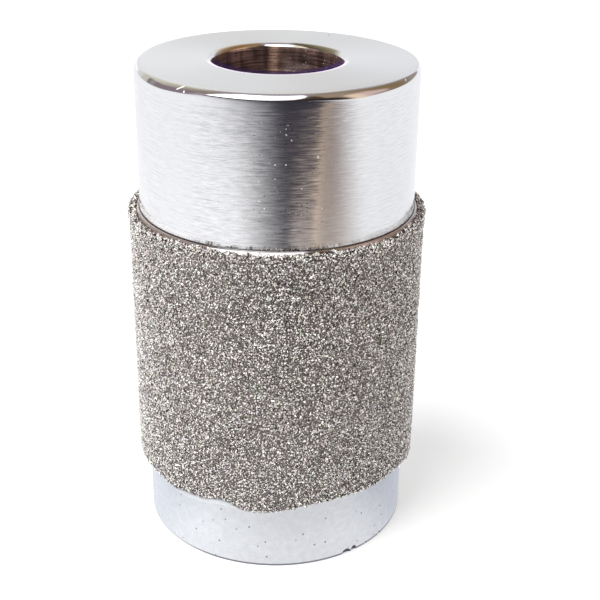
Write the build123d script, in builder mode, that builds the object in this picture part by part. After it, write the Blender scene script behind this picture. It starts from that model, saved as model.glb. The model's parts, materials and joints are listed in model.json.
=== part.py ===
"""Grinding bit for the upright motor shaft of a glass grinder.

A turned, nickel-plated tube slides over the shaft. A raised land round its middle carries a
band of diamond grit held in nickel plate, and a cup-point set screw in the back of the upper
collar clamps the bit to the shaft.

The bit stands on its lower face. The origin is the centre of that face and +Z runs up the bore.
The bare front of the collars faces -Y, and the set screw enters from +Y.
"""

import os
from math import cos, pi, radians, sin

from build123d import *

os.makedirs("parts", exist_ok=True)

# Shaft and bore
shaft_diameter = 7.94
bore_clearance = 0.03
mouth_break_width = 0.27
mouth_break_depth = 0.22

# Turned core
core_diameter = 17.6
lower_collar_height = 4.65
band_height = 17.6
upper_collar_height = 9.25
rim_break_width = 0.3
rim_break_depth = 0.4
base_break = 0.08

# Raised land that carries the grit
land_step = 0.25
land_round = 0.19
land_corner_chamfer = 0.05

# Grit band, sized over the tips of the grains
grit_thickness = 0.475
crest_drop = 0.1
crest_rise = 0.09
crest_round = 0.22
crest_flare = 1.0
lip_bevel = 0.2
shoulder_wrap = 1.0

# Lower edge of the band, where the plate ran out in lobes: lobes per turn, height, phase
edge_waves = ((2, 0.14, -164), (4, 0.17, -58), (9, 0.11, 25), (13, 0.05, 104))
edge_points = 72

# Set screw, size 8 (4.17 mm), and its tapped hole
screw_diameter = 4.17
screw_clearance = 0.03
screw_recess = 0.45
point_gap = 0.35
end_chamfer = 0.3
socket_across_flats = 1.98
socket_floor = 1.9
cup_diameter = 2.1
cup_depth = 0.6
sink_width = 0.45
sink_angle = 90

# Sizes that follow from the ones above
bore_radius = shaft_diameter / 2 + bore_clearance
core_radius = core_diameter / 2
land_radius = core_radius + land_step
grit_radius = land_radius + grit_thickness
land_bottom = lower_collar_height + shoulder_wrap
land_top = lower_collar_height + band_height
core_height = land_top + upper_collar_height
crest_top = land_top - crest_drop
crest_radius = grit_radius + crest_rise
screw_radius = screw_diameter / 2
screw_length = core_radius - bore_radius - screw_recess - point_gap
screw_height = land_top + upper_collar_height / 2


def edge_height(angle):
    """Height of the band's ragged lower edge at an angle from +X, in radians."""
    lobes = sum(rise * sin(count * angle + radians(phase)) for count, rise, phase in edge_waves)
    return lower_collar_height + lobes


def edge_ring(radius, lift):
    """Closed curve round the axis that rises and falls with the lower edge."""
    angles = [2 * pi * step / edge_points for step in range(edge_points)]
    points = [(radius * cos(a), radius * sin(a), edge_height(a) + lift) for a in angles]
    with BuildLine() as ring:
        Spline(*points, periodic=True)
    return ring.edges()[0]


def edge_face(slope):
    """Surface through the lip of the lower edge, level along the radius or sloping up outwards."""
    lip_radius = grit_radius - lip_bevel
    inner = core_radius / 2
    outer = grit_radius + lip_bevel
    inner_ring = edge_ring(inner, slope * (inner - lip_radius))
    outer_ring = edge_ring(outer, slope * (outer - lip_radius))
    return Face.make_surface_from_curves(outer_ring, inner_ring)


# Core: one turned tube with a land, edge breaks and the tapped hole
screw_seat = Plane(origin=(0, core_radius, screw_height), x_dir=(1, 0, 0), z_dir=(0, 1, 0))

with BuildPart() as core:
    with BuildSketch(Plane.XZ):
        with BuildLine():
            bottom_mouth = (bore_radius + mouth_break_width, 0)
            bottom_wall = (bore_radius, mouth_break_depth)
            top_wall = (bore_radius, core_height - mouth_break_depth)
            top_mouth = (bore_radius + mouth_break_width, core_height)
            rim_inner = (core_radius - rim_break_width, core_height)
            rim_outer = (core_radius, core_height - rim_break_depth)
            chamfer_top = (core_radius, land_top + land_corner_chamfer)
            chamfer_foot = (core_radius + land_corner_chamfer, land_top)
            ledge_edge = (land_radius - land_round, land_top)
            land_shoulder = (land_radius, land_top - land_round)
            Line(chamfer_top, rim_outer)
            TangentArc(rim_outer, rim_inner, tangent=(0, 1))
            Polyline(rim_inner, top_mouth, top_wall, bottom_wall, bottom_mouth)
            Polyline(
                bottom_mouth,
                (core_radius - base_break, 0),
                (core_radius, base_break),
                (core_radius, land_bottom),
                (land_radius, land_bottom),
                land_shoulder,
            )
            TangentArc(land_shoulder, ledge_edge, tangent=(0, 1))
            Polyline(ledge_edge, chamfer_foot, chamfer_top)
        make_face()
    revolve(axis=Axis.Z)
    with Locations(screw_seat):
        CounterSinkHole(
            radius=screw_radius + screw_clearance,
            counter_sink_radius=screw_radius + sink_width,
            depth=core_radius,
            counter_sink_angle=sink_angle,
        )

core.part.label = "core"
export_step(core.part, "parts/core.step")


# Grit band: a sleeve on the land, flared at its crest, with a ragged and bevelled lower edge
with BuildPart() as grit_band:
    blank_bottom = land_bottom / 2
    flare_foot = crest_top - crest_round - crest_flare
    with BuildSketch(Plane.XZ):
        with BuildLine():
            crest_side = (crest_radius, crest_top - crest_round)
            crest_edge = (crest_radius - crest_round, crest_top)
            Polyline(
                crest_edge,
                (land_radius, crest_top),
                (land_radius, land_bottom),
                (core_radius, land_bottom),
                (core_radius, blank_bottom),
                (grit_radius, blank_bottom),
                (grit_radius, flare_foot),
            )
            Bezier(
                (grit_radius, flare_foot),
                (grit_radius, flare_foot + crest_flare / 2),
                (crest_radius, flare_foot + crest_flare / 2),
                crest_side,
            )
            TangentArc(crest_side, crest_edge, tangent=(0, 1))
        make_face()
    revolve(axis=Axis.Z)
    split(bisect_by=edge_face(slope=0))
    split(bisect_by=edge_face(slope=1))

grit_band.part.label = "grit_band"
export_step(grit_band.part, "parts/grit_band.step")


# Set screw: cup point towards the bore, hexagon socket outwards, thread left plain
screw_face = screw_seat.offset(-screw_recess)
screw_tip = screw_seat.offset(-screw_recess - screw_length)

with BuildPart() as set_screw:
    with BuildSketch(screw_face):
        Circle(screw_radius)
    extrude(amount=-screw_length)
    chamfer(set_screw.edges().filter_by(GeomType.CIRCLE), length=end_chamfer)
    with BuildSketch(screw_face):
        RegularPolygon(radius=socket_across_flats / 2, side_count=6, major_radius=False)
    extrude(amount=socket_floor - screw_length, mode=Mode.SUBTRACT)
    with Locations(screw_tip):
        Cone(
            bottom_radius=cup_diameter / 2,
            top_radius=0,
            height=cup_depth,
            align=(Align.CENTER, Align.CENTER, Align.MIN),
            mode=Mode.SUBTRACT,
        )

set_screw.part.label = "set_screw"
export_step(set_screw.part, "parts/set_screw.step")
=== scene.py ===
import json
import math
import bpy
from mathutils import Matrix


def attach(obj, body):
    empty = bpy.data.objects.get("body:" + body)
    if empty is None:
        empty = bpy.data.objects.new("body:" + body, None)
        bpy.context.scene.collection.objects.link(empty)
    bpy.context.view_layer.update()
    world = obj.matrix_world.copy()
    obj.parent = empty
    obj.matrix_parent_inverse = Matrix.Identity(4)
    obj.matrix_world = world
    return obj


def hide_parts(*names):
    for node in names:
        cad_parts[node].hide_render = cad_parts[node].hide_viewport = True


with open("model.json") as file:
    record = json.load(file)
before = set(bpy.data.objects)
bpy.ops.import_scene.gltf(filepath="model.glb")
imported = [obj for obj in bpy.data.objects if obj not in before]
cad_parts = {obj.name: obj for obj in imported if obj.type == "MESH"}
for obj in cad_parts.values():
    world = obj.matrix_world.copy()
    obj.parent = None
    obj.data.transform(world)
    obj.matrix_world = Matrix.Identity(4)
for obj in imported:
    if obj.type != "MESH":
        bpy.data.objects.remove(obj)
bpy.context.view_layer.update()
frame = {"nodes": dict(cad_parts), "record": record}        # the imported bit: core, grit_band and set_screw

from types import SimpleNamespace

import bmesh
import bpy
import numpy as np
from mathutils import Matrix, Vector

# Lengths below are written in millimetres and multiplied by MM, because the scene is in metres
MM = 0.001
BODY = "root"
SEED = 20
DEGREES = 180 / math.pi


# Sizes read from the frame

def node_points(name):
    """The corners of a CAD node's mesh, in metres."""
    mesh = frame["nodes"][name].data
    points = np.empty(len(mesh.vertices) * 3)
    mesh.vertices.foreach_get("co", points)
    return points.reshape(-1, 3)


def radii(points):
    """Distance of each point from the axis."""
    return np.hypot(points[:, 0], points[:, 1])


core_points = node_points("core")
band_points = node_points("grit_band")
band_radii = radii(band_points)

bore_radius = frame["record"]["mounts"][0]["dims"]["r_mm"] * MM
core_height = core_points[:, 2].max()
land_radius = radii(core_points).max()
crest_top = band_points[:, 2].max()
crest_radius = band_radii.max()
collar_radius = radii(core_points[core_points[:, 2] > crest_top + 1 * MM]).max()
land_top = core_points[radii(core_points) > (collar_radius + land_radius) / 2][:, 2].max()
wall_points = band_points[(band_points[:, 2] < 8 * MM) & (band_radii > land_radius + 0.1 * MM)]
grit_radius = radii(wall_points).max()

# The core's sizes in millimetres, for its section and its material
TOP = core_height / MM
LEDGE = land_top / MM
LAND = land_radius / MM
WALL = collar_radius / MM
BORE = bore_radius / MM


def lower_edge():
    """Angle and height of the corners along the lip of the band's ragged lower edge."""
    angles = np.arctan2(band_points[:, 1], band_points[:, 0])
    low = (band_radii > land_radius) & (band_radii < grit_radius - 0.1 * MM)
    low &= band_points[:, 2] < 7 * MM
    order = np.argsort(angles[low])
    return angles[low][order], band_points[low][order][:, 2]


LIP_ANGLES, LIP_HEIGHTS = lower_edge()


def lip_height(angle):
    """Height of the ragged lower edge at an angle from +X."""
    turned = (np.asarray(angle) + math.pi) % (2 * math.pi) - math.pi
    return np.interp(turned, LIP_ANGLES, LIP_HEIGHTS, period=2 * math.pi)


# Node trees

class Graph:
    """Short calls that add nodes to one node tree."""

    def __init__(self, tree):
        self.nodes = tree.nodes
        self.links = tree.links

    def put(self, value, socket):
        """Links a socket to another, or sets its own number or colour."""
        if isinstance(value, bpy.types.NodeSocket):
            self.links.new(value, socket)
        else:
            socket.default_value = value

    def add(self, kind, settings=None, **values):
        """A new node with its settings and its inputs, where _ stands for a space in a name."""
        node = self.nodes.new(kind)
        for name, value in (settings or {}).items():
            setattr(node, name, value)
        for name, value in values.items():
            self.put(value, node.inputs[name.replace("_", " ")])
        return node

    def fill(self, node, *values):
        """Puts the values in the node's first inputs and returns its first output."""
        for value, socket in zip(values, node.inputs):
            self.put(value, socket)
        return node.outputs[0]

    def math(self, operation, *values):
        return self.fill(self.add("ShaderNodeMath", {"operation": operation}), *values)

    def plus(self, first, second):
        return self.math("ADD", first, second)

    def minus(self, first, second):
        return self.math("SUBTRACT", first, second)

    def times(self, first, second):
        return self.math("MULTIPLY", first, second)

    def squares(self, first, second):
        """Sum of two squares."""
        return self.plus(self.times(first, first), self.times(second, second))

    def swing(self, value, amount):
        """A noise made to swing about zero."""
        return self.times(self.minus(value, 0.5), amount)

    def step(self, value, low, high, out_low=0.0, out_high=1.0):
        """Smooth step of value from low to high."""
        node = self.add("ShaderNodeMapRange", {"interpolation_type": "SMOOTHSTEP"})
        return self.fill(node, value, low, high, out_low, out_high)

    def fall(self, value, low, high):
        """Smooth step down, 1 below low and 0 above high."""
        return self.step(value, low, high, 1.0, 0.0)

    def window(self, value, low, high, soft):
        """1 between low and high, 0 outside, with soft sides."""
        rise = self.step(value, low - soft, low + soft)
        return self.times(rise, self.fall(value, high - soft, high + soft))

    def mix(self, factor, first, second):
        """Mix of two colours."""
        node = self.add("ShaderNodeMix", {"data_type": "RGBA"})
        for value, place in ((factor, 0), (colour(first), 6), (colour(second), 7)):
            self.put(value, node.inputs[place])
        return node.outputs[2]

    def mix_number(self, factor, first, second):
        """Mix of two numbers."""
        node = self.add("ShaderNodeMix")
        for value, place in ((factor, 0), (first, 2), (second, 3)):
            self.put(value, node.inputs[place])
        return node.outputs[0]

    def bands(self, value, tint, *edges):
        """Colour that turns into the next tint where the value passes from low to high."""
        for low, high, next_tint in edges:
            tint = self.mix(self.step(value, low, high), tint, next_tint)
        return tint

    def vector(self, x, y, z):
        return self.fill(self.add("ShaderNodeCombineXYZ"), x, y, z)

    def split(self, vector):
        """The three numbers of a vector."""
        return self.add("ShaderNodeSeparateXYZ", Vector=vector).outputs

    def scale(self, vector, factor):
        """A vector made longer, or a colour made lighter, by a number."""
        node = self.add("ShaderNodeVectorMath", {"operation": "SCALE"}, Vector=vector, Scale=factor)
        return node.outputs[0]

    def sum_vectors(self, first, second):
        return self.fill(self.add("ShaderNodeVectorMath", {"operation": "ADD"}), first, second)

    def unit(self, vector):
        return self.fill(self.add("ShaderNodeVectorMath", {"operation": "NORMALIZE"}), vector)

    def noise(self, vector, scale, detail=2.0, roughness=0.5):
        inputs = {"Vector": vector, "Scale": scale, "Detail": detail, "Roughness": roughness}
        return self.add("ShaderNodeTexNoise", **inputs).outputs[0]

    def attribute(self, name):
        """A number that the mesh holds at its vertices."""
        return self.add("ShaderNodeAttribute", {"attribute_name": name}).outputs["Fac"]

    def place(self):
        """Object coordinates in millimetres."""
        return self.scale(self.add("ShaderNodeTexCoord").outputs["Object"], 1 / MM)

    def facing(self, x, y):
        """Degrees round the bit from its front, positive to the right."""
        return self.times(self.math("ARCTAN2", x, self.times(y, -1.0)), DEGREES)

    def surface(self, shader, kind="ShaderNodeOutputMaterial"):
        """Makes the shader the surface of the material or the world."""
        self.put(shader.outputs[0], self.add(kind).inputs["Surface"])

    def bumped(self, height, depth, **values):
        """Makes the surface a shader over a bump of some depth in millimetres."""
        bump = self.add("ShaderNodeBump", Height=height, Distance=depth * MM)
        self.surface(self.add("ShaderNodeBsdfPrincipled", Normal=bump.outputs[0], **values))


def colour(value):
    """A colour socket, or three numbers made into four."""
    if isinstance(value, tuple) and len(value) == 3:
        return (*value, 1.0)
    return value


def new_material(name):
    """An empty material and its node tree."""
    material = bpy.data.materials.new(name)
    material.use_nodes = True
    material.node_tree.nodes.clear()
    return material, Graph(material.node_tree)


def located(g):
    """Place of a point in millimetres: as a vector, as x, y and z, and as radius and angle."""
    place = g.place()
    x, y, z = g.split(place)
    radius = g.math("SQRT", g.squares(x, y))
    angle = g.math("ARCTAN2", y, x)
    return SimpleNamespace(place=place, x=x, y=y, z=z, radius=radius, angle=angle)


# Material of the core, with its lengths in plain millimetres

WALL_PLATE = (0.88, 0.88, 0.885)
FACE_PLATE = (0.895, 0.90, 0.895)
# The bore's browns are painted: its shade and the reflections inside it
BORE_SHADE_BROWN = (0.17, 0.108, 0.088)
BORE_SHEEN_TAN = (0.38, 0.245, 0.205)
BRIGHT = (0.95, 0.95, 0.97)
# Dark specks, and the dark reflection of the grains painted above the ledge
DARK_SPECK_AND_REFLECTION = (0.10, 0.09, 0.10)
# Painted shade in the corner at the collar's foot
CORNER_SHADE = (0.045, 0.04, 0.045)
PIT_GREY = (0.16, 0.14, 0.13)
LEDGE_GREY = (0.62, 0.58, 0.56)
# Lilac highlight painted on the near half of the bore's mouth
MOUTH_HIGHLIGHT_LILAC = (1.0, 0.87, 1.0)
LIP_LILAC = (0.26, 0.15, 0.50)

# Two bright glints on the top edge: degrees from +X and depth below the top face
GLINTS = ((-126.6, 0.36), (-31.8, 0.2))

# Scratch on the top edge, painted bright as a glint: its start in degrees from +X, the turn in radians that
# it takes, its depth below the top face where it starts, and how far it rises
SCRATCH_START = -130.5
SCRATCH_TURN = 1 / 18
SCRATCH_DEPTH = 0.32
SCRATCH_RISE = 0.22

# Dark spot on the top face
SPOT_X = 3.4
SPOT_Y = 6.6

# Cells to a millimetre that may each hold a pit, or a speck or a glint
PIT_CELLS = 1.5
SPECK_CELLS = 3.3


def core_masks(g, at):
    """How far a point belongs to each part of the core.

    The parts are the bore, the near half of its mouth where a highlight is painted, the brushed and the
    lower collar, the top face, the ledge, a pale sheen painted above the ledge, and all but the front of the
    bit.
    """
    faint = g.times(g.window(at.z, LEDGE + 0.03, TOP - 0.5, 0.1), 0.4)
    bore = g.fall(at.radius, BORE + 0.02, BORE + 0.05)
    mouth_highlight = g.times(g.fall(at.radius, BORE + 0.38, BORE + 0.48), g.fall(at.y, -1.5, -0.5))
    return SimpleNamespace(
        bore=bore,
        brushed=g.math("MAXIMUM", g.window(at.z, LEDGE + 0.03, TOP - 0.85, 0.06), faint),
        low=g.fall(at.z, LEDGE / 2 - 1, LEDGE / 2),
        face=g.step(at.z, TOP - 0.06, TOP - 0.015),
        ledge=g.window(at.z, LEDGE - 0.3, LEDGE + 0.06, 0.03),
        mouth_highlight=g.times(mouth_highlight, g.minus(1.0, bore)),
        side=g.step(at.y, -8.6, -7.4),
        painted_sheen=g.times(g.window(at.z, LEDGE + 0.1, LEDGE + 0.42, 0.1), g.step(at.y, -7.9, -6.9)),
    )


def brush_lines(g, at, along, across, seed, detail=3.0, roughness=0.6):
    """Noise drawn out along the brush lines, with its scales along and across them."""
    place = g.vector(g.times(at.sweep, along), g.times(at.line_z, across), seed)
    return g.noise(place, 1.0, detail, roughness)


def core_normal(g, at, on, fine):
    """The normal, tilted by the brush lines of the collar and the boring rings of the bore."""
    up_tilt = g.plus(g.swing(fine, 0.32), g.swing(brush_lines(g, at, 5.0, 6.5, 4.0), 0.1))
    up_tilt = g.times(up_tilt, on.brushed)
    side_tilt = g.times(g.swing(brush_lines(g, at, 6.0, 13.0, 9.0), 0.11), on.brushed)
    ring_noise = g.noise(g.vector(g.times(at.angle, 0.8), g.times(at.z, 3.0), 2.0), 1.0)
    ring_turn = g.plus(g.times(at.z, 31.0), g.times(ring_noise, 6.0))
    ring_tilt = g.times(g.times(g.math("SINE", ring_turn), 0.09), on.bore)
    up_tilt = g.plus(up_tilt, ring_tilt)
    minus_y = g.times(at.y, -1.0)
    around = g.vector(g.math("DIVIDE", minus_y, at.radius), g.math("DIVIDE", at.x, at.radius), 0.0)
    tilt = g.sum_vectors(g.scale(around, side_tilt), g.vector(0.0, 0.0, up_tilt))
    return g.unit(g.sum_vectors(g.add("ShaderNodeNewGeometry").outputs["Normal"], tilt))


def wall_cells(g, at, scale):
    """Cells on the unrolled wall: the distance from each one's point, and its random number."""
    unrolled = g.vector(g.times(at.angle, WALL), at.z, 0.0)
    cell = g.add("ShaderNodeTexVoronoi", {"voronoi_dimensions": "2D"}, Vector=unrolled, Scale=scale)
    pick = g.add("ShaderNodeSeparateColor", Color=cell.outputs["Color"]).outputs[0]
    return cell.outputs["Distance"], pick


def core_marks(g, at, on):
    """Pits where the plate missed, dark specks and bright glints, each as a mask."""
    scuffed = g.times(g.window(at.x, -1.5, 3.0, 0.7), g.window(at.z, LEDGE + 1.5, TOP - 1.8, 1.0))
    away, pick = wall_cells(g, at, PIT_CELLS)
    size = g.step(g.math("FRACT", g.times(pick, 7.3)), 0.62, 1.0, 0.0, 0.1)
    pit = g.times(g.fall(g.minus(away, size), -0.02, 0.015), g.math("MAXIMUM", on.low, scuffed))
    spot = g.squares(g.minus(at.x, SPOT_X), g.minus(at.y, SPOT_Y))
    spot = g.times(g.step(spot, 0.004, 0.014, 0.8, 0.0), g.step(at.z, TOP - 0.1, TOP - 0.05))
    pit = g.math("MAXIMUM", pit, spot)

    away, pick = wall_cells(g, at, SPECK_CELLS)
    speck = g.minus(away, g.step(pick, 0.0, 0.2, 0.17, 0.0))
    speck = g.times(g.fall(speck, -0.04, 0.02), scuffed)
    glint = g.minus(away, g.step(pick, 0.84, 1.0, 0.0, 0.16))
    in_bore = g.times(on.bore, g.step(at.x, 0.0, 0.4))
    glint = g.times(g.step(glint, -0.04, 0.02, 0.7, 0.0), g.math("MAXIMUM", scuffed, in_bore))

    along = g.math("DIVIDE", g.minus(at.angle, math.radians(SCRATCH_START)), SCRATCH_TURN)
    scratch_z = g.plus(g.times(along, SCRATCH_RISE), TOP - SCRATCH_DEPTH)
    scratch = g.fall(g.math("ABSOLUTE", g.minus(at.z, scratch_z)), 0.025, 0.045)
    glint = g.math("MAXIMUM", glint, g.times(scratch, g.window(along, 0.0, 1.0, 0.1)))
    for degrees, depth in GLINTS:
        aside = g.times(g.minus(at.angle, math.radians(degrees)), WALL)
        away = g.squares(aside, g.minus(at.z, TOP - depth))
        glint = g.math("MAXIMUM", glint, g.fall(away, 0.002, 0.006))
    return pit, speck, glint


def plate_tint(g, at, on, fine):
    """Colour of the plate outside the bore: streaked where brushed, stained on the lower collar."""
    plate = g.mix(on.face, WALL_PLATE, FACE_PLATE)
    lines = g.plus(g.swing(fine, 0.65), 1.0)
    lines = g.plus(g.swing(brush_lines(g, at, 15.0, 10.0, 6.0), 0.5), lines)
    thin = g.step(brush_lines(g, at, 2.2, 24.0, 12.0, 2.0, 0.5), 0.54, 0.66, 0.0, 0.17)
    lines = g.minus(lines, g.times(thin, g.step(at.x, -2.0, 3.0, 1.0, 0.3)))
    gain = g.minus(g.step(at.x, -5.3, -3.9, 0.68, 1.5), g.step(at.x, -1.0, 3.2, 0.0, 0.95))
    lines = g.plus(g.times(g.minus(lines, 1.0), gain), 1.0)
    plate = g.scale(plate, g.mix_number(on.brushed, 1.0, lines))
    stain = g.plus(g.swing(g.noise(at.place, 2.6, detail=4.0, roughness=0.6), 0.3), 1.0)
    return g.scale(plate, g.mix_number(on.low, 1.0, stain))


def bore_tint(g, at):
    """Colour of the bore, painted light and shade: dark brown for its shade, tan streaks, a pale patch and a
    warm stripe for what it mirrors, and rings.
    """
    streaks = g.noise(g.vector(g.times(at.angle, 7.0), g.times(at.z, 0.35), 7.0), 1.0)
    tint = g.bands(streaks, BORE_SHADE_BROWN, (0.35, 0.65, BORE_SHEEN_TAN))
    # A pale patch and a warm stripe, painted reflections
    patch = g.times(g.window(at.x, 0.5, 2.0, 0.35), g.fall(at.z, TOP - 1.5, TOP - 1.0))
    tint = g.mix(g.times(patch, streaks), tint, (0.95, 0.72, 0.70))
    tint = g.mix(g.times(g.window(at.angle, 1.57, 1.70, 0.05), 0.85), tint, (1.0, 0.66, 0.48))
    rings = g.noise(g.vector(g.times(at.angle, 1.5), g.times(at.z, 9.0), 3.0), 1.0, detail=3.0)
    tint = g.scale(tint, g.step(rings, 0.35, 0.65, 0.5, 1.5))

    # A lilac fringe is painted on the far wall at the line below which the near lip hides it
    hidden_line = g.minus(TOP, g.times(g.math("MAXIMUM", at.y, 0.0), 0.49))
    near_lip = g.window(g.minus(at.z, hidden_line), -0.9, 0.11, 0.09)
    near_lip = g.times(near_lip, g.step(at.y, 0.0, 0.5))
    return g.mix(g.times(near_lip, 0.75), tint, LIP_LILAC)


def with_mouth(g, at, on, tint):
    """Adds the colours of the bore's broken edge, all painted light: a lilac highlight in front, gold and
    olive reflections at the back.
    """
    tint = g.mix(on.mouth_highlight, tint, MOUTH_HIGHLIGHT_LILAC)
    # Gold and olive reflections painted on the back of the mouth
    mouth = g.times(g.fall(at.radius, BORE + 0.2, BORE + 0.42), g.minus(1.0, on.bore))
    mouth = g.times(mouth, g.step(at.y, 1.3, 2.3))
    mouth = g.times(mouth, g.minus(1.0, g.window(at.x, -1.1, 0.9, 0.3)))
    return g.mix(mouth, tint, g.bands(at.x, (0.84, 0.67, 0.47), (-1.0, 1.0, (0.34, 0.31, 0.22))))


def with_ledge(g, at, on, tint):
    """Adds the dull ledge with a painted pink reflection at its sides, a pale sheen painted above it at the
    sides, and painted shade at the collar's foot.
    """
    tint = g.mix(g.times(on.ledge, 0.5), tint, LEDGE_GREY)
    # The ledge's sides are tinted pink for the room that they mirror, a painted reflection
    side_reflection_tint = g.bands(at.x, (0.86, 0.74, 0.73), (-1.0, 3.0, (0.88, 0.79, 0.80)))
    tint = g.mix(g.times(g.times(on.ledge, on.side), 0.7), tint, side_reflection_tint)
    # A pale sheen painted on the collar just above the ledge at the sides, for the light that the collar
    # mirrors there
    tint = g.mix(on.painted_sheen, tint, BRIGHT)
    # Painted shade in the corner at the collar's foot, stronger at the sides
    foot = g.window(at.z, LEDGE - 0.05, LEDGE + 0.075, 0.03)
    foot = g.times(g.fall(at.radius, WALL + 0.055, WALL + 0.095), foot)
    tint = g.mix(g.times(foot, g.mix_number(on.side, 0.35, 0.92)), tint, CORNER_SHADE)

    # A broken dark line painted just above the ledge, on both sides of the bare front, for the dark grains
    # that the collar mirrors there
    speckle = g.step(g.noise(at.place, 11.0, detail=2.0), 0.49, 0.56)
    fringe = g.window(at.z, LEDGE + 0.01, LEDGE + 0.05, 0.04)
    fringe = g.times(fringe, g.step(g.math("ABSOLUTE", g.plus(at.x, -0.5)), 2.4, 3.8))
    fringe = g.times(fringe, g.step(at.y, -7.2, -5.6, 0.75, 0.3))
    return g.mix(g.times(fringe, speckle), tint, DARK_SPECK_AND_REFLECTION)


def with_base(g, at, on, tint):
    """Adds a dark line painted on the base edge for the shade of its contact with the table, which it
    mirrors, and the dark nicks in it.
    """
    # Painted shade on the base edge, weaker on the left
    line = g.times(g.fall(at.z, 0.13, 0.2), g.step(at.x, -7.0, -4.0, 0.35, 1.0))
    tint = g.mix(g.times(line, 0.9), tint, (0.19, 0.18, 0.22))
    nicked = g.times(g.fall(at.radius, WALL - 0.03, WALL - 0.01), g.window(at.z, 0.01, 0.6, 0.005))
    nicked = g.times(g.times(nicked, on.low), g.step(at.radius, WALL - 1, WALL - 0.9))
    return g.mix(nicked, tint, (0.10, 0.09, 0.11))


def plated_metal():
    """Nickel plate on the turned core: brushed collar, polished edges, satin faces, a bore painted dark for
    its shade.
    """
    material, g = new_material("plated_core")
    at = located(g)
    on = core_masks(g, at)

    # Brush lines run round the collar and rise and fall a little
    at.line_z = g.plus(at.z, g.times(g.math("SINE", g.times(at.angle, 5.0)), 0.05))
    at.sweep = g.plus(g.times(at.angle, 0.4), g.times(at.x, 0.6 * MM / collar_radius))
    fine = brush_lines(g, at, 9.0, 17.0, 0.0)
    pit, speck, glint = core_marks(g, at, on)

    tint = g.mix(on.bore, plate_tint(g, at, on, fine), bore_tint(g, at))
    tint = with_mouth(g, at, on, tint)
    tint = with_ledge(g, at, on, tint)
    tint = with_base(g, at, on, tint)
    tint = g.mix(g.times(pit, 0.75), tint, PIT_GREY)
    tint = g.mix(g.times(speck, 0.55), tint, DARK_SPECK_AND_REFLECTION)
    tint = g.mix(glint, tint, BRIGHT)

    rough = g.mix_number(on.brushed, 0.10, 0.17)
    rough = g.mix_number(on.face, rough, 0.30)
    rough = g.mix_number(on.ledge, rough, g.mix_number(on.side, 0.16, 0.36))
    rough = g.mix_number(on.bore, rough, 0.26)
    rough = g.mix_number(on.painted_sheen, rough, 0.34)
    metallic = g.mix_number(on.bore, 1.0, 0.75)
    metallic = g.mix_number(g.math("MAXIMUM", glint, on.mouth_highlight), metallic, 0.1)
    metallic = g.mix_number(on.painted_sheen, metallic, 0.35)

    mottle = g.noise(at.place, 1.3, detail=5.0, roughness=0.6)
    height = g.minus(mottle, g.times(pit, 4.0))
    normal = core_normal(g, at, on, fine)
    bump = g.add("ShaderNodeBump", Height=height, Strength=1.0, Distance=0.003 * MM, Normal=normal)
    tangent = g.add("ShaderNodeTangent", {"direction_type": "RADIAL", "axis": "Z"})
    g.surface(g.add(
        "ShaderNodeBsdfPrincipled",
        Base_Color=tint,
        Metallic=metallic,
        Roughness=rough,
        Anisotropic=0.7,
        Anisotropic_Rotation=0.25,
        Normal=bump.outputs[0],
        Tangent=tangent.outputs[0],
    ))
    return material


# Materials of the band and the screw

def bond_metal():
    """Nickel between the grains: dull and nodular, painted near black in patches for the shade between the
    grains, bright and smooth at the bare lip.
    """
    material, g = new_material("grit_bond")
    place = g.place()
    bare = g.attribute("bare")
    nodules = g.add("ShaderNodeTexVoronoi", {"feature": "SMOOTH_F1"}, Vector=place, Scale=6.0)
    fine = g.noise(place, 14.0, detail=3.0)
    height = g.plus(nodules.outputs["Distance"], g.times(fine, 0.4))
    # Painted shade: the bond runs from near black to mid grey, for the shade between the grains
    tint = g.bands(fine, (0.04, 0.033, 0.03), (0.3, 0.7, (0.43, 0.38, 0.345)))
    tint = g.mix(bare, tint, (0.92, 0.925, 0.935))
    g.bumped(height, 0.03, Base_Color=tint, Roughness=g.mix_number(bare, 0.42, 0.16), Metallic=1.0)
    return material


def grain_material():
    """Diamond grains filmed with nickel: glinting facets, each grain lighter or darker at random, with light
    and shade painted on its corners.
    """
    material, g = new_material("diamond_grains")
    place = g.place()
    hue = g.step(g.noise(place, 2.4, detail=4.0), 0.42, 0.58)
    chill = g.step(g.noise(g.scale(place, -1.0), 5.0, detail=3.0), 0.46, 0.62)
    pale = g.mix(hue, (1.0, 0.99, 0.86), (1.0, 0.89, 0.87))
    pale = g.mix(g.times(chill, 0.6), pale, (0.96, 0.955, 1.0))
    dark = g.mix(hue, (0.102, 0.094, 0.074), (0.11, 0.086, 0.079))
    tint = g.mix(g.step(g.attribute("tone_and_shade"), 0.0, 1.0), dark, pale)
    fine = g.noise(place, 13.0, detail=3.0)
    tint = g.scale(tint, g.step(fine, 0.34, 0.66, 0.3, 1.76))
    g.bumped(fine, 0.028, Base_Color=tint, Roughness=0.09, Metallic=0.5, IOR=2.2)
    return material


def black_oxide():
    """Blackened alloy steel of the set screw."""
    material, g = new_material("set_screw")
    place = g.place()
    wear = g.noise(place, 3.0, detail=4.0)
    tint = g.bands(wear, (0.035, 0.035, 0.04), (0.5, 0.75, (0.11, 0.11, 0.115)))
    height = g.noise(place, 12.0, detail=3.0)
    g.bumped(height, 0.01, Base_Color=tint, Roughness=g.mix_number(wear, 0.30, 0.48), Metallic=0.9)
    return material


# Meshes

def turned(section, turns):
    """Vertices and faces of a closed section turned about the Z axis."""
    count = len(section)
    angles = 2 * math.pi * np.arange(turns) / turns
    radius = section[None, :, 0]
    verts = np.stack([
        radius * np.cos(angles)[:, None],
        radius * np.sin(angles)[:, None],
        np.broadcast_to(section[None, :, 1], (turns, count)),
    ], -1)
    return verts.reshape(-1, 3), ring_faces(turns, count)


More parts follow.
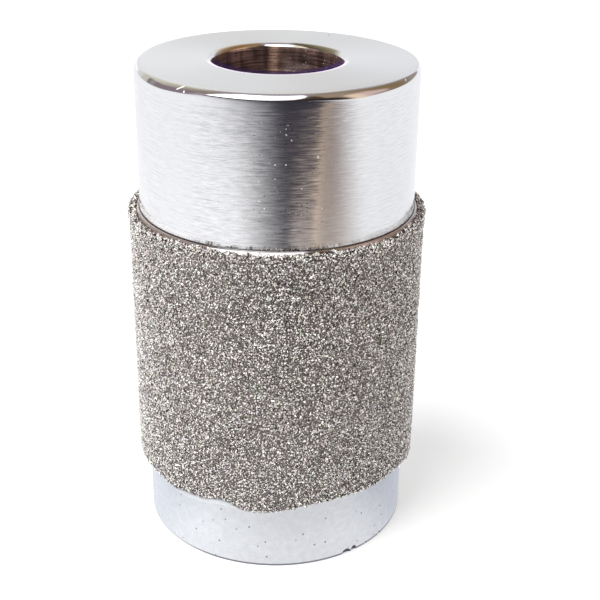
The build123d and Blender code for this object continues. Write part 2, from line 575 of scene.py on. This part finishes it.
def ring_faces(turns, count):
    """Quads between neighbouring columns of a closed ring, whose columns are closed too."""
    column = np.arange(turns)[:, None]
    next_column = (column + 1) % turns
    row = np.arange(count)[None, :]
    next_row = (row + 1) % count
    corners = [(column, row), (next_column, row), (next_column, next_row), (column, next_row)]
    return np.stack([across * count + up for across, up in corners], -1).reshape(-1, 4)


def make_object(name, verts, faces, material):
    """A piece of the visual model, which rides on the one body."""
    mesh = bpy.data.meshes.new(name)
    mesh.from_pydata(verts.tolist(), [], faces.tolist())
    mesh.materials.append(material)
    piece = bpy.data.objects.new(name, mesh)
    bpy.context.scene.collection.objects.link(piece)
    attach(piece, BODY)
    return piece


def add_number(piece, name, values):
    """Stores a number at each vertex, for the material to read."""
    layer = piece.data.attributes.new(name, "FLOAT", "POINT")
    layer.data.foreach_set("value", np.asarray(values, np.float32))


# Core

# Steps round the core and round the screw's hole
TURNS = 384
HOLE_TURNS = 96

# Rounding of the base edge, and how far the land reaches down from the ledge
BASE_ROUND = 0.08
LAND_DEPTH = 16.6

# Hole of the set screw, with its countersink, from inside the bore to outside the collar
HOLE_RADIUS = 2.115 * MM
HOLE_SINK = 0.42 * MM
HOLE_START = 3 * MM
HOLE_PAST = 1 * MM

# Nicks in the base edge, in millimetres: degrees from the front, half width, depth and height
NICKS = (
    (32.3, 0.36, 0.15, 0.34), (36.4, 0.24, 0.15, 0.37), (43.6, 0.13, 0.1, 0.16), (51, 0.1, 0.08, 0.14),
    (53.4, 0.15, 0.1, 0.2),
)
NICK_HEIGHT = 0.03 * MM

# Depth of the polished top edge round the bit, against its mean: degrees from the front, share
RIM_DEPTHS = (
    (-110, 1.0), (-75, 1.25), (-50, 1.3), (-42, 1.13), (-34, 0.99), (-28, 0.79), (-20, 0.82), (-8, 0.9),
    (8, 0.87), (16, 0.93), (24, 1.06), (32, 1.19), (42, 1.07), (54, 1.06), (66, 1.06), (90, 1.1), (120, 1.0),
)
RIM_SOFTNESS = 11

# Width of the same edge against its mean, which is less on the right
RIM_WIDTHS = ((40, 1.0), (62, 0.66), (100, 0.66), (125, 1.0))

# How far down and inwards the depths reshape the core, and how far inwards the widths do
RIM_DOWN = 0.95 * MM
RIM_IN = 2 * MM
RIM_OUTER = 0.6 * MM


def soft_line(points, steps):
    """A smooth curve through the points, as more points."""
    points = np.array(points)
    ends = [2 * points[0] - points[1], *points, 2 * points[-1] - points[-2]]
    curve = []
    for first, here, there, last in zip(ends, ends[1:], ends[2:], ends[3:]):
        for step in range(steps):
            t = step / steps
            bend = (2 * first - 5 * here + 4 * there - last) * t * t
            bend = bend + (3 * here - 3 * there + last - first) * t ** 3
            curve.append(here + 0.5 * ((there - first) * t + bend))
    return [tuple(point) for point in curve] + [tuple(points[-1])]


def quarter(centre, size, start, steps):
    """A quarter turn anticlockwise from the angle start, in degrees."""
    turns = [math.radians(start + 90 * step / steps) for step in range(steps + 1)]
    return [(centre[0] + size * math.cos(turn), centre[1] + size * math.sin(turn)) for turn in turns]


def core_section():
    """Half section of the core in millimetres, anticlockwise from the foot of the outer wall."""
    section = quarter((WALL - BASE_ROUND, BASE_ROUND), BASE_ROUND, -90, 5)
    section += [(WALL, z) for z in (0.1, 0.2, 0.5, 1.0, 2.0, 3.0, 4.0, 5.0, 5.5, LEDGE - LAND_DEPTH)]
    section += [(LAND, LEDGE - depth) for depth in (LAND_DEPTH, 10, 1)]
    shoulder = [
        (LAND, LEDGE - 0.45),
        (LAND, LEDGE - 0.32),
        (LAND - 0.005, LEDGE - 0.25),
        (LAND - 0.022, LEDGE - 0.19),
        (LAND - 0.066, LEDGE - 0.105),
        (LAND - 0.118, LEDGE - 0.025),
        (LAND - 0.15, LEDGE - 0.004),
        (LAND - 0.2, LEDGE),
    ]
    section += soft_line(shoulder, 4)
    foot = ((0.035, 0.006), (0.022, 0.02), (0.012, 0.045), (0.004, 0.09))
    section += [(WALL + out, LEDGE + up) for out, up in foot]
    section += [(WALL, LEDGE + up) for up in (0.15, 0.3, 1, 2, 3, 4, 5, 6, 7, 8)]
    rolled = [
        (WALL, TOP - 0.72),
        (WALL - 0.003, TOP - 0.52),
        (WALL - 0.016, TOP - 0.41),
        (WALL - 0.06, TOP - 0.30),
        (WALL - 0.135, TOP - 0.18),
        (WALL - 0.225, TOP - 0.092),
        (WALL - 0.37, TOP - 0.04),
        (WALL - 0.62, TOP - 0.013),
        (WALL - 1.0, TOP - 0.002),
        (WALL - 1.6, TOP),
    ]
    section += [(WALL, TOP - 0.9), *soft_line(rolled, 5)]
    mouth = [
        (BORE + 1.2, TOP),
        (BORE + 0.42, TOP - 0.002),
        (BORE + 0.27, TOP - 0.014),
        (BORE + 0.17, TOP - 0.058),
        (BORE + 0.08, TOP - 0.145),
        (BORE + 0.025, TOP - 0.25),
        (BORE, TOP - 0.38),
        (BORE, TOP - 0.6),
    ]
    section += soft_line(mouth, 4)
    section += [(BORE, z) for z in (26, 20, 14, 8, 2, 0.4, 0.22)]
    section += [(BORE + 0.1, 0.1), (BORE + 0.27, 0), (BORE + 0.3, 0), (WALL - 0.2, 0)]
    return np.array(section) * MM


def shape_rim(verts):
    """Makes the rounded top edge uneven round the bit, as hand polishing left it."""

    # The depth for each degree, smoothed over a few degrees with a turn more at either end
    degrees, shares = np.array(RIM_DEPTHS).T
    turns = np.arange(-180, 180)
    share = np.interp(turns, degrees, shares, period=360)
    soft = np.hanning(RIM_SOFTNESS) / np.hanning(RIM_SOFTNESS).sum()
    share = np.convolve(np.tile(share, 3), soft, "same")[360:720]
    facing = np.degrees(np.arctan2(verts[:, 0], -verts[:, 1]))
    depth = core_height - verts[:, 2]
    edge = (depth < RIM_DOWN) & (radii(verts) > collar_radius - RIM_IN)
    verts[edge, 2] = core_height - (depth * np.interp(facing, turns, share, period=360))[edge]

    width = np.interp(facing, *np.array(RIM_WIDTHS).T)
    far = radii(verts)
    outer = edge & (far > collar_radius - RIM_OUTER)
    stretch = np.where(outer, 1 + (1 - width) * (collar_radius - far) / far, 1)
    verts[:, :2] *= stretch[:, None]


def core_cutter():
    """Mesh that cuts the screw's hole through the back and the nicks into the base edge."""
    outside = collar_radius + HOLE_PAST
    steps = [
        (0.0, HOLE_START),
        (HOLE_RADIUS, HOLE_START),
        (HOLE_RADIUS, collar_radius - HOLE_SINK),
        (HOLE_RADIUS + HOLE_SINK + HOLE_PAST, outside),
        (0.0, outside),
    ]
    verts, faces = turned(np.array(steps), HOLE_TURNS)
    cutter = bpy.data.meshes.new("hole")
    cutter.from_pydata(verts.tolist(), [], faces.tolist())
    work = bmesh.new()
    work.from_mesh(cutter)
    bmesh.ops.remove_doubles(work, verts=work.verts, dist=0.001 * MM)
    work.to_mesh(cutter)
    work.clear()
    cutter.transform(Matrix.Rotation(-math.pi / 2, 4, "X"))
    cutter.transform(Matrix.Translation((0, 0, core_height - (core_height - land_top) / 2)))
    work.from_mesh(cutter)
    for facing, width, depth, rise in NICKS:
        turn = Matrix.Rotation(math.radians(facing), 4, "Z")
        place = Matrix.Translation((0, -collar_radius, NICK_HEIGHT))
        size = Matrix.Diagonal((width * MM, depth * MM, rise * MM, 1))
        bmesh.ops.create_icosphere(work, subdivisions=3, radius=1, matrix=turn @ place @ size)
    work.to_mesh(cutter)
    work.free()
    return cutter


def build_core(material):
    """The turned tube with softly polished edges, the screw's hole and the nicks."""
    verts, faces = turned(core_section(), TURNS)
    shape_rim(verts)
    core = make_object("core_metal", verts, faces, material)
    tool = bpy.data.objects.new("hole", core_cutter())
    bpy.context.scene.collection.objects.link(tool)
    cut = core.modifiers.new("hole", "BOOLEAN")
    cut.operation = "DIFFERENCE"
    cut.object = tool
    cut.solver = "EXACT"
    graph = bpy.context.evaluated_depsgraph_get()
    mesh = bpy.data.meshes.new_from_object(core.evaluated_get(graph))
    core.modifiers.clear()
    core.data = mesh
    bpy.data.objects.remove(tool)
    mesh.shade_smooth()
    mesh.set_sharp_from_angle(angle=math.radians(35))
    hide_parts("core")


# Grit band

random = np.random.default_rng(SEED)

# Grains: their size and spacing, and how far each is shaken, as a share of the spacing
GRAIN_SHAPES = 16
GRAIN_SIZE = 0.099 * MM
GRAIN_PITCH = 0.153 * MM
GRAIN_SHAKE = 0.28
ROW_GAP = GRAIN_PITCH * 0.866
TOP_ROW = crest_top - 0.1 * MM

# Loose grains on the crest, which are larger
CREST_LAYERS = 3
CREST_GROWTH = 1.35
CREST_INNER = land_radius + 0.01 * MM
CREST_OUTER = crest_radius - 0.2 * MM

# Bond: its depth under the tips of the grains, and the shape of its crest and its lip
BOND_DEPTH = 0.125 * MM
BOND_SWELL = 0.022 * MM
CREST_ROUND = 0.22 * MM
FLARE_FOOT = crest_top - 1 * MM - CREST_ROUND
LIP_RISE = 0.36 * MM

# Bare plate at the front left, and where it runs down furthest: degrees from +X, height
BARE_MIDDLE = -121
BARE_SPREAD = 17
BARE_HEIGHT = 0.58
DROP_MIDDLE = -134
DROP_SPREAD = 6

# Rows of the bond up its lip, its wall and its crest, and steps round it
LIP_ROWS = 6
WALL_ROWS = 130
CREST_ROWS = 3
TURN_STEPS = 520


def wall_radius(z):
    """Outer radius of the band over its grains, which flares at the crest."""
    share = np.clip((z - FLARE_FOOT) / (crest_top - CREST_ROUND - FLARE_FOOT), 0, 1)
    return grit_radius + (crest_radius - grit_radius) * share * share * (3 - 2 * share)


def turned_degrees(angle):
    """Degrees from +X, between -180 and 180."""
    return (np.degrees(angle) + 180) % 360 - 180


def bare_share(angle):
    """How far the smooth plate shows under the lowest grains: full at the front left, else none."""
    return np.exp(-(((turned_degrees(angle) - BARE_MIDDLE) / BARE_SPREAD) ** 4))


def bare_height(angle):
    """Height of the smooth plate under the lowest grains, which ends in lobes."""
    lobes = 0.07 * np.sin(7 * angle + 1) + 0.07 * np.sin(19 * angle)
    return np.maximum(bare_share(angle) * (BARE_HEIGHT + lobes), 0.04) * MM


def film_drop(angle):
    """How far the thin end of the plate runs down past the lip at the front left."""
    furthest = np.exp(-(((turned_degrees(angle) - DROP_MIDDLE) / DROP_SPREAD) ** 2))
    lobes = 0.04 * np.sin(17 * angle) + 0.22 * furthest
    return bare_share(angle) * (0.2 + lobes) * MM


def band_section(angle):
    """Points of the bond's section at an angle, from the collar round the lip to the ledge."""
    lip = float(lip_height(angle) - film_drop(angle))
    points = [(collar_radius, lip - 0.02 * MM)]
    for step in range(1, LIP_ROWS + 1):
        turn = step / LIP_ROWS * math.pi / 2
        reach = (grit_radius - BOND_DEPTH - collar_radius) * math.sin(turn)
        points.append((collar_radius + reach, lip + LIP_RISE * (1 - math.cos(turn))))
    wall_foot = lip + LIP_RISE
    wall_top = crest_top - CREST_ROUND
    for step in range(1, WALL_ROWS):
        z = wall_foot + (wall_top - wall_foot) * step / WALL_ROWS
        points.append((float(wall_radius(z)) - BOND_DEPTH, z))
    round_in = CREST_ROUND - 0.04 * MM
    for step in range(CREST_ROWS + 1):
        turn = step / CREST_ROWS * math.pi / 2
        radius = crest_radius - BOND_DEPTH - round_in * (1 - math.cos(turn))
        points.append((radius, wall_top - 0.08 * MM + round_in * math.sin(turn)))
    points.append((land_radius + 0.06 * MM, crest_top - 0.07 * MM))
    points.append((land_radius, crest_top - 0.12 * MM))
    return points


def bond_mesh():
    """The nickel layer as a closed sleeve with small random swellings."""
    turns = 2 * math.pi * np.arange(TURN_STEPS) / TURN_STEPS
    grid = np.array([band_section(turn) for turn in turns])
    count = grid.shape[1]
    angles = np.repeat(turns, count).reshape(TURN_STEPS, count)
    swell = random.normal(0, BOND_SWELL, grid.shape[:2])

    # The lip stays nearly smooth, and the rows that meet the collar and the ledge don't move
    swell[:, :2] = 0
    swell[:, 2:8] *= 0.35
    swell[:, -3:] = 0
    radius = grid[:, :, 0] + swell
    height = grid[:, :, 1]
    verts = np.stack([radius * np.cos(angles), radius * np.sin(angles), height], -1).reshape(-1, 3)
    above = bare_height(angles) + lip_height(angles) - film_drop(angles) - height
    bare = np.clip(above / (0.1 * MM) + 1, 0, 1)
    return verts, ring_faces(TURN_STEPS, count), bare.reshape(-1)


def grain_templates(count):
    """Convex shards on seven to nine corners, each about unit radius."""
    shapes = []
    for _ in range(count):
        corners = random.integers(7, 10)
        points = random.normal(size=(corners, 3))
        points /= np.linalg.norm(points, axis=1)[:, None]
        points *= random.uniform(0.8, 1.1, (corners, 1))
        work = bmesh.new()
        for point in points:
            work.verts.new(point)
        bmesh.ops.convex_hull(work, input=work.verts)
        loose = [v for v in work.verts if not v.link_faces]
        bmesh.ops.delete(work, geom=loose, context="VERTS")
        bmesh.ops.recalc_face_normals(work, faces=work.faces)
        work.verts.index_update()
        verts = np.array([v.co[:] for v in work.verts])
        faces = np.array([[v.index for v in f.verts] for f in work.faces])
        work.free()
        shapes.append((verts, faces))
    return shapes


def random_turns(count):
    """Random rotation matrices from random unit quaternions."""
    q = random.normal(size=(count, 4))
    q /= np.linalg.norm(q, axis=1)[:, None]
    w, x, y, z = q.T
    rows = [
        [1 - 2 * (y * y + z * z), 2 * (x * y - z * w), 2 * (x * z + y * w)],
        [2 * (x * y + z * w), 1 - 2 * (x * x + z * z), 2 * (y * z - x * w)],
        [2 * (x * z - y * w), 2 * (y * z + x * w), 1 - 2 * (x * x + y * y)],
    ]
    return np.array(rows).transpose(2, 0, 1)


def grain_places():
    """Radius, angle and height of the grains: shaken rows up the wall, then loose ones on the crest."""
    columns = int(2 * math.pi * grit_radius / GRAIN_PITCH)
    rows = int((crest_top - LIP_HEIGHTS.min()) / ROW_GAP) + 1
    row, column = np.meshgrid(np.arange(rows), np.arange(columns), indexing="ij")
    angle = (column + 0.5 * (row % 2)) * 2 * math.pi / columns
    z = TOP_ROW - row * ROW_GAP
    shaken = random.uniform(-GRAIN_SHAKE, GRAIN_SHAKE, angle.size)
    angle = angle.ravel() + shaken * GRAIN_PITCH / grit_radius
    shaken = random.uniform(-GRAIN_SHAKE, GRAIN_SHAKE, z.size)
    z = np.minimum(z.ravel() + shaken * GRAIN_PITCH, TOP_ROW)
    over = np.clip((z - (crest_top - CREST_ROUND)) / CREST_ROUND, 0, 1)
    radius = wall_radius(z) - BOND_DEPTH - CREST_ROUND * 0.8 * (1 - np.sqrt(1 - over * over))
    above = z - lip_height(angle) + film_drop(angle) - bare_height(angle) - 0.06 * MM
    keep = random.uniform(0, 0.16 * MM, z.size) < above
    places = np.stack([radius[keep], angle[keep], z[keep]], -1)

    # The loose grains on the crest lie a little lower on the left and right
    crest_count = columns * CREST_LAYERS
    crest_angle = random.uniform(0, 2 * math.pi, crest_count)
    crest_r = random.uniform(CREST_INNER, CREST_OUTER, crest_count)
    side_drop = 0.09 * np.clip(np.abs(np.cos(crest_angle)) * 3 - 1.4, 0, 1)
    crest_z = crest_top - (random.uniform(-0.035, 0.09, crest_count) + side_drop) * MM
    return np.concatenate([places, np.stack([crest_r, crest_angle, crest_z], -1)])


def grain_piece(number, places, shapes, material):
    """The grains of one quarter of the band as one piece, each with its own size, turn and random lightness,
    and painted light and shade.
    """
    count = len(places)
    size = GRAIN_SIZE * random.uniform(0.72, 1.22, count)
    on_crest = (places[:, 0] < CREST_OUTER) & (places[:, 2] > crest_top - 0.2 * MM)
    size[on_crest] *= CREST_GROWTH
    turns = random_turns(count)
    squash = random.uniform(0.75, 1.15, (count, 3))
    sink = random.uniform(-0.03, 0.035, count) * MM
    kinds = random.integers(0, len(shapes), count)
    # The random spread is wider towards the right front, where the lamps light the grains less
    tones = random.uniform(-0.8, 0.8, count) * (1 + 0.25 * np.cos(places[:, 1] + 0.6))

    # One more draw for each grain, which keeps the grains of the next quarter as they are
    random.uniform(0, 1, count)

    all_verts, all_faces, all_tones = [], [], []
    base = 0
    for kind, (verts, faces) in enumerate(shapes):
        own = np.flatnonzero(kinds == kind)
        local = verts[None] * squash[own][:, None, :] * size[own][:, None, None]
        local = np.einsum("nij,nkj->nki", turns[own], local)
        r = places[own, 0] + sink[own]
        a = places[own, 1]
        outward = np.stack([np.cos(a), np.sin(a), 0.35 * np.ones_like(a)], -1)

        # A corner that points outwards and up is brighter: partly the grain's bare tip, partly painted light
        # from above and shade between the grains
        reach = np.einsum("nki,ni->nk", local, outward) / (size[own][:, None] * 1.06)
        centre = np.stack([r * np.cos(a), r * np.sin(a), places[own, 2]], -1)
        local += centre[:, None, :]
        starts = base + np.arange(len(own)) * len(verts)
        all_verts.append(local.reshape(-1, 3))
        all_faces.append((faces[None] + starts[:, None, None]).reshape(-1, 3))
        all_tones.append((0.55 + 1.65 * reach + tones[own][:, None]).ravel())
        base += len(own) * len(verts)
    verts = np.concatenate(all_verts)
    piece = make_object(f"grains_{number}", verts, np.concatenate(all_faces), material)
    add_number(piece, "tone_and_shade", np.concatenate(all_tones))
    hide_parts("grit_band")


def build_band():
    """The nickel bond, and the grains in one piece for each quarter turn."""
    verts, faces, bare = bond_mesh()
    bond = make_object("grit_bond", verts, faces, bond_metal())
    bond.data.shade_smooth()
    add_number(bond, "bare", bare)
    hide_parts("grit_band")
    material = grain_material()
    shapes = grain_templates(GRAIN_SHAPES)
    places = grain_places()
    quarters = (places[:, 1] % (2 * math.pi) // (math.pi / 2)).astype(int)
    for number in range(4):
        grain_piece(number + 1, places[quarters == number], shapes, material)


# Stage, light and camera

# Levels of the world and the lamps, the lamps' spreads in degrees and the ways to them
WORLD_LEVEL = 0.40
WINDOW_LEVEL = 2.2
KEY_LEVEL = 0.79
KEY_SPREAD = 56
KEY_TOWARD = Vector((-0.66, -0.36, 0.9)).normalized()
FILL_LEVEL = 0.17
FILL_SPREAD = 60
FILL_TOWARD = Vector((0.75, -0.55, 0.45)).normalized()

# Paper floor, with the light that it gains for the camera alone, so that it shows white
FLOOR_HALF = 1500 * MM
PAPER = 0.8
FLOOR_LIFT = 0.41


# The world's x, y and z are parts of a direction of length 1. Azimuth and elevation are degrees.

def left_wall(g, y, elevation):
    """Left of the camera: a lilac wall that darkens and then turns pale, with olive above it."""
    low = g.bands(
        y, (0.42, 0.335, 0.40),
        (-0.31, -0.2, (0.245, 0.195, 0.22)),
        (0.34, 0.40, (0.32, 0.29, 0.31)),
        (0.44, 0.49, (0.23, 0.21, 0.205)),
        (0.52, 0.55, (0.60, 0.57, 0.52)),
        (0.64, 0.72, (0.72, 0.72, 0.71)),
    )
    high = g.bands(
        y, (0.27, 0.23, 0.195),
        (-0.12, 0.16, (0.45, 0.41, 0.33)),
        (0.12, 0.5, (0.66, 0.63, 0.53)),
    )
    line = g.minus(elevation, g.step(y, -0.1, 0.3, 8.0, -5.0))
    return g.mix(g.step(line, 21, 27), low, high)


def right_wall(g, azimuth, elevation):
    """Right of the camera: a gold and pink wall that turns brown, under a brown lid."""
    tint = g.bands(azimuth, (0.44, 0.34, 0.22), (56, 63, (0.84, 0.66, 0.50)), (69, 75, (0.66, 0.48, 0.45)))
    low = g.times(g.step(azimuth, 76, 82), g.fall(elevation, 10, 17))
    tint = g.mix(low, tint, (0.39, 0.30, 0.28))
    tint = g.bands(azimuth, tint, (93, 99, (0.265, 0.19, 0.13)), (110, 132, (0.40, 0.35, 0.36)))
    lid = g.bands(azimuth, (0.34, 0.25, 0.185), (75, 100, (0.235, 0.165, 0.09)))
    lid = g.bands(azimuth, lid, (108, 134, (0.33, 0.29, 0.275)))
    lid_line = g.plus(elevation, g.times(g.math("MAXIMUM", g.minus(azimuth, 82.0), 0.0), 1.1))
    tint = g.mix(g.step(lid_line, 30, 40), tint, lid)
    return g.mix(g.fall(azimuth, 40, 47), tint, (0.075, 0.042, 0.03))


def dark_room(g, x, y, azimuth, elevation):
    """The room round the camera: two walls, nearly black low in front, and a ceiling."""
    tint = g.mix(g.step(x, 0.1, 0.3), left_wall(g, y, elevation), right_wall(g, azimuth, elevation))
    low_line = g.step(azimuth, 8, 26, 20.0, 35.0)
    below = g.fall(g.minus(elevation, low_line), -4, 4)
    tint = g.mix(g.times(below, g.fall(y, -0.6, -0.4)), tint, (0.035, 0.025, 0.025))
    ceiling = g.bands(x, (0.34, 0.285, 0.36), (0.18, 0.3, (0.29, 0.235, 0.18)))
    ceiling = g.bands(elevation, ceiling, (76, 82, (0.37, 0.35, 0.36)))
    return g.mix(g.times(g.step(elevation, 54, 62), g.step(x, -0.5, -0.3)), tint, ceiling)


def bright_window(g, azimuth, elevation):
    """Mask of the window above the camera, whose sill rises to the right."""
    reach = g.math("DIVIDE", g.math("MAXIMUM", g.plus(azimuth, 21.0), 0.0), 48.0)
    sill = g.plus(g.times(g.math("POWER", reach, 2.0), 27.0), 23.5)
    window = g.times(g.step(g.minus(elevation, sill), -3, 3), g.fall(elevation, 69, 75))
    return g.times(window, g.step(azimuth, -63, -58))


def world_light():
    """White studio. Metal also sees the dark room round the camera, with a window above it."""
    world = bpy.data.worlds.new("studio")
    bpy.context.scene.world = world
    world.use_nodes = True
    world.node_tree.nodes.clear()
    g = Graph(world.node_tree)
    x, y, z = g.split(g.add("ShaderNodeTexCoord").outputs["Generated"])
    azimuth = g.facing(x, y)
    elevation = g.times(g.math("ARCSINE", z), DEGREES)

    # The room gives way to the white backdrop later at the sides and in the middle
    sideways = g.step(g.math("ABSOLUTE", x), 0.45, 0.7)
    behind = g.minus(y, g.times(sideways, 0.35))
    behind = g.minus(behind, g.times(g.window(x, -0.02, 0.26, 0.08), 0.13))
    room = g.fall(behind, 0.5, 0.83)

    raised = g.step(elevation, 2, 9)
    backdrop = g.mix(raised, (1.15, 1.14, 1.18), (0.835, 0.845, 0.865))
    backdrop = g.mix(g.times(g.step(x, -0.02, 0.12), raised), backdrop, (0.785, 0.79, 0.825))
    seen = g.mix(room, backdrop, dark_room(g, x, y, azimuth, elevation))
    seen = g.mix(bright_window(g, azimuth, elevation), seen, (WINDOW_LEVEL,) * 3)
    path = g.add("ShaderNodeLightPath").outputs
    shown = g.mix(path["Is Glossy Ray"], (WORLD_LEVEL,) * 3, seen)
    shown = g.mix(path["Is Camera Ray"], shown, (1.0, 1.0, 1.0))
    g.surface(g.add("ShaderNodeBackground", Color=shown), "ShaderNodeOutputWorld")


def mirrored_floor(g):
    """Colour of the floor as metal sees it: white paper that ends in front in a dark room."""
    x, y, _ = g.split(g.place())
    radius = g.math("SQRT", g.squares(x, y))
    azimuth = g.facing(x, y)

    # The dark part widens with distance, as seen from the bit
    spread = g.minus(1.0, g.times(g.minus(radius, 75.0), 0.0055))
    from_middle = g.minus(azimuth, 8.0)
    turn = g.plus(g.times(from_middle, g.math("MAXIMUM", spread, 0.5)), 8.0)
    dark_start = g.step(radius, 84, 116, -36.5, -39.5)
    dark = g.times(g.step(g.minus(turn, dark_start), 0, 47), g.step(radius, 28, 65))

    # It turns brown towards the right, with a tan stripe just before the paper is white again
    far = g.step(radius, 60, 130)
    dark_tint = g.mix(far, (0.075, 0.062, 0.072), (0.04, 0.037, 0.051))
    brown_tint = g.mix(far, (0.44, 0.365, 0.32), (0.15, 0.10, 0.105))
    brown = g.step(g.minus(turn, g.step(radius, 58, 106, 5, 26)), 0, 10)
    dark_tint = g.mix(brown, dark_tint, brown_tint)
    dark_tint = g.mix(g.window(turn, 28.5, 32, 1.3), dark_tint, (0.78, 0.60, 0.44))
    widen = g.plus(g.times(g.minus(radius, 65.0), 0.002), 0.85)
    white_again = g.step(g.times(from_middle, widen), 27.5, 58.5)

    # Close to the bit, its shadow is painted into the paper as metal sees it, darkest on the right
    back = g.step(g.math("ABSOLUTE", azimuth), 115, 175)
    near_white = g.bands(
        azimuth, (0.90, 0.92, 0.96),
        (-60, 15, (0.70, 0.715, 0.745)),
        (38, 82, (0.51, 0.53, 0.59)),
    )
    near_white = g.mix(g.fall(azimuth, -75, -36), near_white, (0.74, 0.77, 0.83))
    near_white = g.mix(back, near_white, (0.72, 0.745, 0.79))
    near_white = g.scale(near_white, g.step(radius, 10.5, 15.0, 1.14, 1.0))
    right_white = g.bands(radius, (0.85, 0.86, 0.885), (72, 108, (0.925, 0.935, 0.96)))
    far_white = g.bands(azimuth, (0.99, 0.995, 1.02), (-20, 40, right_white))
    far_white = g.mix(back, far_white, (0.96, 0.965, 0.99))
    far_white = g.scale(far_white, g.step(radius, 70, 110, 1.07, 1.0))
    white = g.bands(radius, near_white, (14, 30, far_white))
    return g.mix(white_again, g.mix(dark, white, dark_tint), white)


def floor():
    """White paper to the camera, which keeps the bit's shadow. Metal sees more in it."""
    mesh = bpy.data.meshes.new("floor")
    corners = ((-1, -1), (1, -1), (1, 1), (-1, 1))
    mesh.from_pydata([(x * FLOOR_HALF, y * FLOOR_HALF, 0) for x, y in corners], [], [(0, 1, 2, 3)])
    piece = bpy.data.objects.new("floor", mesh)
    bpy.context.scene.collection.objects.link(piece)
    material, g = new_material("floor")
    path = g.add("ShaderNodeLightPath").outputs
    paper = g.add("ShaderNodeBsdfDiffuse", Color=(PAPER, PAPER, PAPER, 1.0)).outputs[0]
    lift = g.add("ShaderNodeEmission", Color=(1.0, 1.0, 1.0, 1.0), Strength=FLOOR_LIFT).outputs[0]
    lifted = g.fill(g.add("ShaderNodeAddShader"), paper, lift)
    mirror = g.add("ShaderNodeEmission", Color=mirrored_floor(g)).outputs[0]
    by_camera = g.fill(g.add("ShaderNodeMixShader"), path["Is Camera Ray"], paper, lifted)
    by_gloss = g.add("ShaderNodeMixShader")
    g.fill(by_gloss, path["Is Glossy Ray"], by_camera, mirror)
    g.surface(by_gloss)
    mesh.materials.append(material)


def sun(name, energy, spread, toward):
    """A distant soft lamp, its spread in degrees, which metal doesn't mirror."""
    data = bpy.data.lights.new(name, "SUN")
    data.angle = math.radians(spread)
    data.energy = energy
    light = bpy.data.objects.new(name, data)
    bpy.context.scene.collection.objects.link(light)
    light.rotation_euler = (-toward).to_track_quat("-Z", "Y").to_euler()
    light.visible_glossy = False


def lamps():
    """A broad soft key from the left and in front, and a weak wide fill from the right."""
    sun("key", KEY_LEVEL * math.pi / KEY_TOWARD.z, KEY_SPREAD, KEY_TOWARD)
    sun("fill", FILL_LEVEL * math.pi, FILL_SPREAD, FILL_TOWARD)


CAMERA_PLACE = Vector((0, -71.0, 47.8)) * MM
CAMERA_PITCH = math.radians(24.68)
CAMERA_YAW = math.radians(1.26)
CAMERA_ROLL = math.radians(0.785)
CAMERA_LENS = 69.92
CAMERA_SENSOR = 36


def photo_camera():
    """The photograph's view: above the bit, looking down at it from close by."""
    data = bpy.data.cameras.new("camera")
    data.sensor_width = CAMERA_SENSOR
    data.lens = CAMERA_LENS
    data.clip_start = 1 * MM
    camera = bpy.data.objects.new("camera", data)
    bpy.context.scene.collection.objects.link(camera)
    yaw = Matrix.Rotation(-CAMERA_YAW, 4, "Z")
    pitch = Matrix.Rotation(math.pi / 2 - CAMERA_PITCH, 4, "X")
    roll = Matrix.Rotation(CAMERA_ROLL, 4, "Z")
    camera.matrix_world = Matrix.Translation(CAMERA_PLACE) @ yaw @ pitch @ roll
    bpy.context.scene.camera = camera


build_core(plated_metal())
frame["nodes"]["set_screw"].material_slots[0].material = black_oxide()
build_band()
world_light()
floor()
lamps()
photo_camera()
bpy.context.scene.view_settings.view_transform = "Standard"
